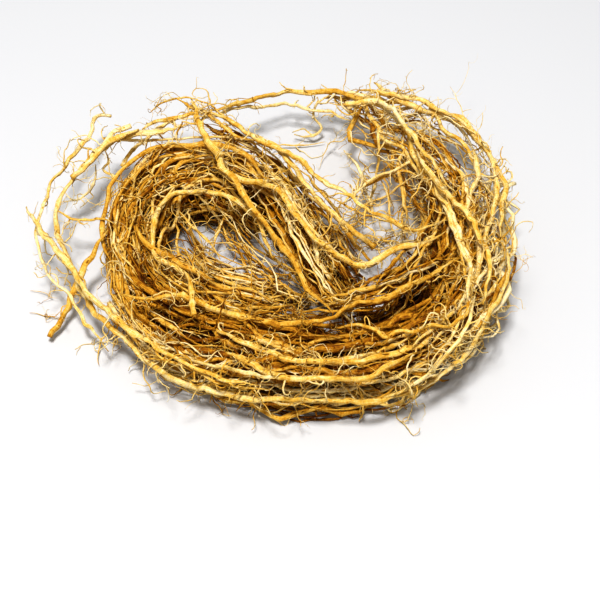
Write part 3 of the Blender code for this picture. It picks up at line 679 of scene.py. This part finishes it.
def bunch_roots(bunch, count, low, high, step, rng):
    """Roots along a bunch, mostly near its surface: lines, radii, tints with painted shade deep inside and on
    the underside, and how loosely they bend.
    """
    places = max(8, round(0.8 * bunch.length / step))
    share = rng.uniform(0.45, 1.0, (count, 1)) / bunch.lean ** 0.35
    room = bunch.length + 2 * OVERSHOOT
    start = -OVERSHOOT + rng.uniform(0, 1, (count, 1)) ** bunch.lean * (1 - share) * room
    s = start + share * room * np.linspace(0, 1, places)[None]
    base = rng.uniform(low, high, count)
    angle = (np.arange(count) * EVEN_TURN)[:, None] + rng.uniform(-0.5, 0.5, (count, 1))
    angle = angle + waves(s, rng, (150, 0.75), (70, 0.25), (30, 0.10))
    depth = np.sqrt(rng.uniform(0.25, 1.0, (count, 1)))
    depth = np.clip(depth + waves(s, rng, (70, 0.14), (28, 0.09)), 0.1, 1.08)
    lines = bunch.point(s, angle, depth, base[:, None])
    along = np.clip(s / bunch.length, 0, 1)
    tint = bunch.tint + (bunch.end_tint - bunch.tint) * along ** 1.5
    # Painted shade: roots deep inside a bunch are made darker, the more so in paler bunches, and roots on a
    # bunch's top side are made paler and on its underside darker.
    tint = tint - (1.4 - tint) * np.clip(1 - depth, 0, 0.6) + 0.12 * np.sin(angle) * depth
    tint = np.clip(tint + rng.normal(0.04, 0.14, (count, 1)), 0.08, 0.94)
    loose = 1 + bunch.wild * along ** 1.5
    return lines, tapered(count, places, base, 0.6, rng), tint, loose


def crossing_roots(first, second, count, rng):
    """Lines and radii of roots that pass between two neighbouring bunches."""
    gap = np.linalg.norm(first.centre[:, None, :2] - second.centre[None, :, :2], axis=2)
    beside = second.distance[gap.argmin(axis=1)]
    near = (gap.min(axis=1) < BESIDE) & (np.abs(np.gradient(beside)) < JUMP)
    edges = np.flatnonzero(np.diff(np.concatenate([[0], near.astype(int), [0]])))
    longest = np.argmax(edges[1::2] - edges[::2])
    low, high = first.distance[edges[::2][longest]], first.distance[edges[1::2][longest] - 1]
    reach = min(high - low, LONGEST_CROSSING)
    length = rng.uniform(0.35, 1.0, (count, 1)) * reach
    start = low + rng.uniform(0, 1, (count, 1)) ** first.lean * (high - low - length)
    s = start + length * np.linspace(0, 1, max(8, round(0.65 * reach / 2.6)))[None]
    share = rng.uniform(-0.1, 1.1, (count, 1)) + waves(s, rng, (120, 0.55), (55, 0.25), (25, 0.08))
    share = np.clip(share, -0.4, 1.4)[..., None]
    partner = second.read(second.centre, np.interp(s, first.distance, beside))
    lines = first.read(first.centre, s) * (1 - share) + partner * share
    lines = lines + first.read(first.side, s) * waves(s, rng, (60, 1.6), (28, 0.8))[..., None]
    base = rng.choice([1.2, 0.75, 0.4], count, p=[0.2, 0.4, 0.4]) * rng.uniform(0.8, 1.2, count)
    return lines, tapered(count, lines.shape[1], base, 0.65, rng)


# Roots as swept meshes

class Roots:
    """Gathers batches of swept roots, and makes one piece of them."""

    def __init__(self):
        self.points, self.quads, self.caps, self.tint, self.cut, self.grain = [], [], [], [], [], []
        self.count = 0

    def sweep(self, lines, radii, sides, tint, rng, lobes=0.0, cut=False):
        """Sweeps a batch: lines is roots by places by 3, and radii and tint fit roots by places."""
        roots, places = radii.shape
        heading = unit(np.gradient(lines, axis=1))
        tint = np.broadcast_to(np.asarray(tint, float).reshape(roots, -1), (roots, places))
        along = distances(lines)
        marks = np.zeros((roots, places))
        if cut:
            ends = [0, 0, *range(places), -1, -1]
            heading, tint, along = heading[:, ends], tint[:, ends], along[:, ends]
            lines, radii = lines[:, ends].copy(), radii[:, ends].copy()
            radii[:, [0, -1]] *= CUT_FACE
            radii[:, [1, -2]] *= CUT_RIM
            lines[:, 0] += CUT_RISE * heading[:, 0]
            lines[:, -1] -= CUT_RISE * heading[:, -1]
            marks = np.tile([*CUT_MARKS, *np.zeros(places - 2), *CUT_MARKS[::-1]], (roots, 1))
            places += 4
        around = np.arange(sides) * math.tau / sides
        phase = rng.uniform(0, math.tau, (roots, 1, 2))
        drift = along[..., None] * RIB_TURN
        shape = (1 + lobes * np.cos(2 * around + phase[..., :1] + drift)
                 + 0.6 * lobes * np.cos(3 * around + phase[..., 1:] - 1.4 * drift))
        rings = np.empty((roots, places, sides, 3))
        normal = unit(np.cross(heading[:, 0], UP + 0.01))
        for k in range(places):
            normal = unit(normal - heading[:, k] * (normal * heading[:, k]).sum(1, keepdims=True))
            other = np.cross(heading[:, k], normal)
            ring = (normal[:, None] * np.cos(around)[None, :, None]
                    + other[:, None] * np.sin(around)[None, :, None])
            rings[:, k] = lines[:, k, None] + ring * (radii[:, k, None] * shape[:, k])[..., None]
        first = self.count + np.arange(roots)[:, None, None] * (places * sides)
        k, j = np.meshgrid(np.arange(places - 1), np.arange(sides), indexing="ij")
        a, b = k * sides + j, k * sides + (j + 1) % sides
        quads = np.stack([a, b, b + sides, a + sides], axis=-1).reshape(1, -1, 4)
        self.quads.append((quads + first).reshape(-1, 4))
        caps = np.stack([np.arange(sides)[::-1], (places - 1) * sides + np.arange(sides)])[None] + first
        self.caps.append(caps.reshape(-1, sides))
        self.points.append(rings.reshape(-1, 3))
        girth = radii.max(axis=1)[:, None, None]
        grain = np.stack(np.broadcast_arrays(
            np.cos(around)[None, None] * girth, np.sin(around)[None, None] * girth,
            along[..., None] + rng.uniform(0, 900, (roots, 1, 1))), axis=-1)
        self.grain.append(grain.reshape(-1, 3))
        self.tint.append(np.repeat(tint.reshape(-1), sides))
        self.cut.append(np.repeat(marks.reshape(-1), sides))
        self.count += roots * places * sides

    def piece(self, name, material, slot, *nodes):
        """One object of all that was gathered, in place of the part's nodes of those names."""
        points = (np.concatenate(self.points) - PLAN_CENTRE) * MM
        quads = np.concatenate(self.quads)
        caps = [cap for batch in self.caps for cap in batch]
        sizes = np.concatenate([np.full(len(quads), 4), [len(cap) for cap in caps]])
        corners = np.concatenate([quads.reshape(-1), *caps])
        mesh = bpy.data.meshes.new(name)
        mesh.vertices.add(len(points))
        mesh.vertices.foreach_set("co", points.astype(np.float32).reshape(-1))
        mesh.loops.add(len(corners))
        mesh.loops.foreach_set("vertex_index", corners.astype(np.int32))
        mesh.polygons.add(len(sizes))
        starts = np.concatenate([[0], np.cumsum(sizes)[:-1]])
        mesh.polygons.foreach_set("loop_start", starts.astype(np.int32))
        mesh.polygons.foreach_set("use_smooth", np.arange(len(sizes)) < len(quads))
        for title, values in (("tint", self.tint), ("cut_end", self.cut)):
            made = mesh.attributes.new(title, "FLOAT", "POINT")
            made.data.foreach_set("value", np.concatenate(values).astype(np.float32))
        made = mesh.attributes.new("grain", "FLOAT_VECTOR", "POINT")
        made.data.foreach_set("vector", np.concatenate(self.grain).astype(np.float32).reshape(-1))
        mesh.update()
        mesh.validate()
        mesh.materials.append(material)
        piece = bpy.data.objects.new(name, mesh)
        bpy.context.scene.collection.objects.link(piece)
        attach(piece, "root")
        if nodes:
            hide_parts(*nodes)


class Feet:
    """The places on roots that thinner roots leave from."""

    def __init__(self):
        self.rows = []

    def add(self, lines, radii, tint):
        """Takes a batch of lines with their radii and tints."""
        heading = unit(np.gradient(lines, axis=1))
        tint = np.broadcast_to(np.asarray(tint, float).reshape(len(radii), -1), radii.shape)
        rows = np.concatenate([lines, heading, radii[..., None], tint[..., None]], axis=2)
        self.rows.append(rows.reshape(-1, 8))

    def grow(self, kind, count, rng, middle=None):
        """Crooked thin roots of a kind, from places taken at random: their lines, radii and tints."""
        rows = np.concatenate(self.rows)
        at = rows[rng.integers(0, len(rows), count)]
        place, heading = at[:, :3], at[:, 3:6] * np.where(rng.random((count, 1)) < 0.5, 1, -1)
        across = unit(np.cross(heading, unit(rng.normal(0, 1, (count, 3)))))
        direction = unit(heading * (1 - kind["out"]) + across * kind["out"])
        step = rng.uniform(*kind["length"], (count, 1)) / (kind["places"] - 1)
        lines, bend = [place], np.zeros((count, 3))
        for _ in range(kind["places"] - 1):
            lines.append(lines[-1] + direction * step)
            bend = KEPT_TURN * bend + rng.normal(0, kind["kink"], (count, 3))
            direction = unit(direction + bend + heading * DRAWN_ALONG - UP * kind["sag"])
        lines = np.stack(lines, axis=1)
        base = np.minimum(rng.uniform(*kind["radius"], count), at[:, 6] * 0.8)
        radii = base[:, None] * np.linspace(1.0, 0.5, kind["places"])[None]
        lines = above_floor(lines, radii)
        kept = ((lines > LOWEST) & (lines < HIGHEST)).all(axis=(1, 2))
        if middle is not None:
            tips = lines[:, -1]
            near = np.linalg.norm((tips - middle(tips))[:, :2], axis=1) < TIP_REACH
            kept &= near | (rng.random(count) < STRAYS)
        return lines[kept], radii[kept], at[kept, 7]

    def dress(self, roots, twigs, hairs, rng, middle=None):
        """Grows branching twigs and then fine hairs, and sweeps them among the roots."""
        lines, radii, tint = self.grow(TWIG, twigs, rng, middle)
        tint = np.clip(tint + rng.normal(0.06, 0.13, len(tint)), 0.15, 0.85)
        roots.sweep(lines, radii, 4, tint, rng)
        for _ in range(2):
            self.add(lines, radii, tint)
        lines, radii, tint = self.grow(HAIR, hairs, rng, middle)
        tint = np.clip(tint + rng.normal(0.10, 0.15, len(tint)), 0.15, 0.85)
        roots.sweep(lines, radii, 3, tint, rng)


# Materials

class Wire:
    """A shader socket. Arithmetic on wires adds Math nodes."""

    def __init__(self, finish, socket):
        self.finish, self.socket = finish, socket

    def math(self, operation, first, second):
        """A Math node of the two values, as a wire."""
        return self.finish.node("ShaderNodeMath", {"operation": operation}, {0: first, 1: second})

    def __add__(self, other):
        return self.math("ADD", self, other)

    def __sub__(self, other):
        return self.math("SUBTRACT", self, other)

    def __rsub__(self, other):
        return self.math("SUBTRACT", other, self)

    def __mul__(self, other):
        return self.math("MULTIPLY", self, other)

    def __lt__(self, other):
        return self.math("LESS_THAN", self, other)

    __radd__ = __add__
    __rmul__ = __mul__


class Finish:
    """A material whose nodes are added by expressions and by one method."""

    def __init__(self, name):
        self.material = bpy.data.materials.new(name)
        self.material.use_nodes = True
        self.tree = self.material.node_tree
        self.shader = self.tree.nodes["Principled BSDF"]

    def node(self, kind, settings, sockets, output=0):
        """A node of a kind, with its settings made first and then its sockets' values or links."""
        made = self.tree.nodes.new(kind)
        for key, value in settings.items():
            if key == "stops":
                self.ramp(made.color_ramp.elements, value)
            else:
                setattr(made, key, value)
        for key, value in sockets.items():
            self.feed(made.inputs[key], value)
        return Wire(self, made.outputs[output])

    def ramp(self, elements, stops):
        """Sets a colour ramp's stops."""
        while len(elements) < len(stops):
            elements.new(1.0)
        for element, (place, colour) in zip(elements, stops):
            element.position = place
            element.color = (*colour, 1)

    def feed(self, socket, value):
        """Links a wire to the socket, or sets the socket's own value."""
        if isinstance(value, Wire):
            self.tree.links.new(value.socket, socket)
        else:
            socket.default_value = value

    def shade(self, sockets):
        """Feeds the Principled shader's sockets."""
        for key, value in sockets.items():
            self.feed(self.shader.inputs[key], value)


def root_bark():
    """Dried root bark: each root its own tint with the painted shade it carries, lengthwise wrinkles with
    painted shade in their furrows, rings, dark scars and cut ends.
    """
    bark = Finish("dried_root_bark")
    tint = bark.node("ShaderNodeAttribute", {"attribute_name": "tint"}, {}, "Fac")
    cut = bark.node("ShaderNodeAttribute", {"attribute_name": "cut_end"}, {}, "Fac")
    grain = bark.node("ShaderNodeAttribute", {"attribute_name": "grain"}, {}, "Vector")
    place = bark.node("ShaderNodeTexCoord", {}, {}, "Object")

    def noise(scale, detail):
        """Noise that is stretched along each root by the scale."""
        stretched = bark.node("ShaderNodeMapping", {}, {"Vector": grain, "Scale": scale})
        return bark.node("ShaderNodeTexNoise", {}, {"Vector": stretched, "Scale": 1.0, "Detail": detail,
                                                    "Roughness": 0.6})

    wrinkle_and_furrow_shade = noise((2.6, 2.6, 0.30), 4.0)
    ring = noise((0.3, 0.3, 1.5), 2.0)
    patch = noise((0.25, 0.25, 0.09), 2.0)
    blotch = bark.node("ShaderNodeTexNoise", {}, {"Vector": place, "Scale": 260.0, "Detail": 3.0})
    spots = bark.node("ShaderNodeMapping", {}, {"Vector": grain, "Scale": (0.55, 0.55, 0.28)})
    scar = bark.node("ShaderNodeTexVoronoi", {}, {"Vector": spots, "Scale": 1.0}, "Distance") < 0.17
    # The wrinkle noise darkens the colour where its bump is low. This gives the bark's own lengthwise
    # streaks, and painted shade in the furrows.
    shade = (tint + (wrinkle_and_furrow_shade - 0.5) * 0.85 + (blotch - 0.5) * 0.55 + (ring - 0.5) * 0.45
             + (patch - 0.5) * 0.45 - scar * 0.30 - cut * 0.45)
    colour = bark.node("ShaderNodeValToRGB", {"stops": BARK}, {"Fac": shade})
    height = wrinkle_and_furrow_shade * 0.65 + ring * 0.35 - scar * 0.25
    normal = bark.node("ShaderNodeBump", {}, {"Strength": 0.9, "Distance": 0.0009, "Height": height})
    bark.shade({"Base Color": colour, "Roughness": 0.38 + 0.25 * wrinkle_and_furrow_shade, "Normal": normal,
                "Specular IOR Level": 0.14})
    return bark.material


# The hank

bark = root_bark()
bunches = {name: Bunch(rows) for name, rows in BUNCHES.items()}
bunches_laid = np.concatenate([Bunch(rows, LAID_STEP).ovals() for rows in BUNCHES.values()])
middles = np.concatenate([bunch.centre[::3] for bunch in bunches.values()])


def nearest_middle(places):
    """The point on any bunch's middle line that is nearest to each place on the plan."""
    away = np.linalg.norm(places[:, None, :2] - middles[None, :, :2], axis=2)
    return middles[away.argmin(axis=1)]


def lay(roots, feet, lines, radii, sides, tint, rng, lobes, cut=True):
    """Sweeps a batch of roots clear of the surface, and lets rootlets grow from it."""
    lines = above_floor(lines, radii)
    roots.sweep(lines, radii, sides, tint, rng, lobes, cut)
    feet.add(lines, radii, tint)


def dress_bunches():
    """Each bunch's roots of three thicknesses, and its rootlets."""
    for seed, (name, bunch) in enumerate(bunches.items()):
        rng = np.random.default_rng(100 + seed)
        roots, hairs, feet = Roots(), Roots(), Feet()
        for share, low, high, step, sides, lobes, blunt in THICKNESSES:
            count = round(share * bunch.size * bunch.fullness)
            lines, radii, tint, loose = bunch_roots(bunch, count, low, high, step, rng)
            kink = MOST_BENT / (1 + BEND_EASE * high)
            bends = [(length, height * kink) for length, height in BUNCH_BENDS]
            lines = crook(lines, rng, *bends, gain=loose)
            radii = thinned(lines, lumpy(lines, radii, rng), 14, rng.random((2, count)) < 0.75)
            lay(roots, feet, lines, radii, sides, tint, rng, lobes, blunt)
        roots.piece(f"{name}_roots", bark, "dried_root", name)
        dressed = bunch.length * bunch.fullness
        counts = [round(number * dressed) for number in ON_A_BUNCH]
        feet.dress(hairs, *counts, rng, nearest_middle)
        hairs.piece(f"{name}_rootlets", bark, "dried_root")


def join_bunches():
    """The roots between neighbouring bunches and those of the loose layers, with their rootlets."""
    rng = np.random.default_rng(300)
    crossing, turning, hairs, feet = Roots(), Roots(), Roots(), Feet()
    for first, second, count in CROSSINGS:
        lines, radii = crossing_roots(bunches[first], bunches[second], count, rng)
        lines[..., 2] = 6.0
        lines = settled(lines, radii, bunches_laid, 3)
        sink = rng.uniform(0, 1, (count, 1)) ** 1.6 * 7.0
        lines[..., 2] -= sink
        lines = crook(lines, rng, *CROSSING_BENDS)
        radii = thinned(lines, lumpy(lines, radii, rng), 14)
        between = (bunches[first].tint + bunches[second].tint) / 2
        # Painted shade: the deeper a crossing root sinks into the bunches, the darker it is made.
        tint = between + rng.normal(0.02, 0.15, (count, 1)) - 0.03 * sink
        lay(crossing, feet, lines, radii, 6, tint, rng, 0.07)
    for rows in STREAMS.values():
        stream = Bunch(rows)
        thick = rows.get("thick", 0.35)
        for share, low, high, sides in ((thick, 0.8, 1.3, 7), (1 - thick, 0.3, 0.7, 5)):
            lines, radii, tint, loose = bunch_roots(stream, round(share * rows["roots"]), low, high, 2.8, rng)
            lines = crook(lines, rng, *STREAM_BENDS, gain=loose)
            radii = thinned(lines, lumpy(lines, radii, rng), 14)
            lay(turning, feet, lines, radii, sides, tint, rng, 0.07)
    crossing.piece("crossing_roots", bark, "dried_root")
    turning.piece("turning_roots", bark, "dried_root")
    feet.dress(hairs, *ON_THE_JOINING_ROOTS, rng, nearest_middle)
    hairs.piece("crossing_rootlets", bark, "dried_root")


def lay_long_roots():
    """The long roots, each over the bunches and over the long roots before it."""
    laid = bunches_laid
    for seed, (name, root) in enumerate(LONG_ROOTS.items()):
        rng = np.random.default_rng(200 + seed)
        points = long_root_points(root, random.Random(seed), laid)
        near = smooth_route(points, LAID_ROOT_STEP)
        size = np.full(len(near), root["radius"])
        laid = np.concatenate([laid, np.column_stack([near, size, size])])
        lines = crook(smooth_route(points, 1.3)[None], rng, *LONG_BENDS)
        share = np.linspace(0, 1, lines.shape[1])
        lines = lines + share[:, None] * root.get("over", (0, 0, 0))
        radii = np.linspace(0.86 * root["radius"], 0.86 * root["tip"], lines.shape[1])[None]
        radii = radii * np.interp(share, *zip(*root.get("girth", [(0, 1), (1, 1)])))
        whole = [end not in root.get("cut", ()) for end in (0, 1)]
        radii = thinned(lines, lumpy(lines, radii, rng, 0.13), 16, whole)
        lines = above_floor(lines, radii)
        tint = root.get("tint", 0.72) + rng.normal(0, 0.05) + waves(distances(lines), rng, (60, 0.10))
        roots, feet = Roots(), Feet()
        lay(roots, feet, lines, radii, 10, tint, rng, 0.16)
        dressed = root.get("fuzz", 1.0) * lines.shape[1] / STRETCH_PLACES
        feet.dress(roots, *[round(number * dressed) for number in ON_A_STRETCH], rng)
        roots.piece(f"{name}_bark", bark, "pale_root", name)


def lay_loose_roots():
    """The loose roots, settled over the bunches."""
    for seed, (name, rows) in enumerate(LOOSE_ROOTS.items()):
        rng = np.random.default_rng(400 + seed)
        roots, feet = Roots(), Feet()
        look, fuzz = LOOSE_LOOKS.get(name, LOOSE_LOOK)
        for radius, route, *cut in rows:
            lines = smooth_route(route, 1.5)[None]
            radii = np.linspace(0.92 * radius, 0.7 * radius, lines.shape[1])[None]
            lines = settled(lines, radii * 0.6, bunches_laid, 4)
            lines = crook(lines, rng, *LOOSE_BENDS)
            radii = thinned(lines, lumpy(lines, radii, rng, 0.11), 10, [end not in cut for end in (0, 1)])
            tint = look + rng.normal(0, 0.08)
            lay(roots, feet, lines, radii, 8, tint, rng, 0.09)
        feet.dress(roots, *[round(number * fuzz * len(rows)) for number in ON_A_LOOSE_ROOT], rng)
        roots.piece(name, bark, "pale_root")


# The surface, the light and the camera

def make_floor():
    """The plain pale surface."""
    bpy.ops.mesh.primitive_plane_add(size=6.0)
    floor = bpy.context.object
    floor.name = "floor"
    pale = Finish("pale_floor")
    pale.shade({"Base Color": (0.580, 0.580, 0.588, 1.0), "Roughness": 0.6})
    floor.data.materials.append(pale.material)


def make_window():
    """A soft square light, above and a little to the left and the front of the hank, which it faces."""
    lamp = bpy.data.lights.new("window", "AREA")
    lamp.size = 0.22
    lamp.energy = 13.3
    window = bpy.data.objects.new("window", lamp)
    window.location = (-0.10, -0.29, 1.18)
    window.rotation_euler = (-window.location).to_track_quat("-Z", "Y").to_euler()
    bpy.context.scene.collection.objects.link(window)


def make_camera():
    """The view from the front, fifty degrees up, half a metre from the hank."""
    lens = bpy.data.cameras.new("camera")
    lens.sensor_width = 36.0
    lens.lens = 36.0 * CAMERA_DISTANCE / (PICTURE_SIDE * PIXEL * MM)
    lens.shift_x, lens.shift_y = [pixels / PICTURE_SIDE for pixels in SHIFT]
    lens.clip_start = 0.01
    camera = bpy.data.objects.new("camera", lens)
    aim = (np.array([0.0, 0.0, AIM_HEIGHT]) - PLAN_CENTRE) * MM
    back = np.array([0.0, -math.cos(CAMERA_RISE), math.sin(CAMERA_RISE)])
    camera.location = aim + back * CAMERA_DISTANCE
    camera.rotation_euler = (math.pi / 2 - CAMERA_RISE, 0, 0)
    bpy.context.scene.collection.objects.link(camera)
    bpy.context.scene.camera = camera


def make_world():
    """Even white light from all round, and a picture of high contrast."""
    world = bpy.data.worlds.new("white_room")
    world.use_nodes = True
    background = world.node_tree.nodes["Background"]
    background.inputs["Color"].default_value = (1, 1, 1, 1)
    background.inputs["Strength"].default_value = 0.345
    bpy.context.scene.world = world
    bpy.context.scene.view_settings.view_transform = "Standard"
    bpy.context.scene.view_settings.look = "High Contrast"


dress_bunches()
join_bunches()
lay_long_roots()
lay_loose_roots()
make_floor()
make_window()
make_camera()
make_world()
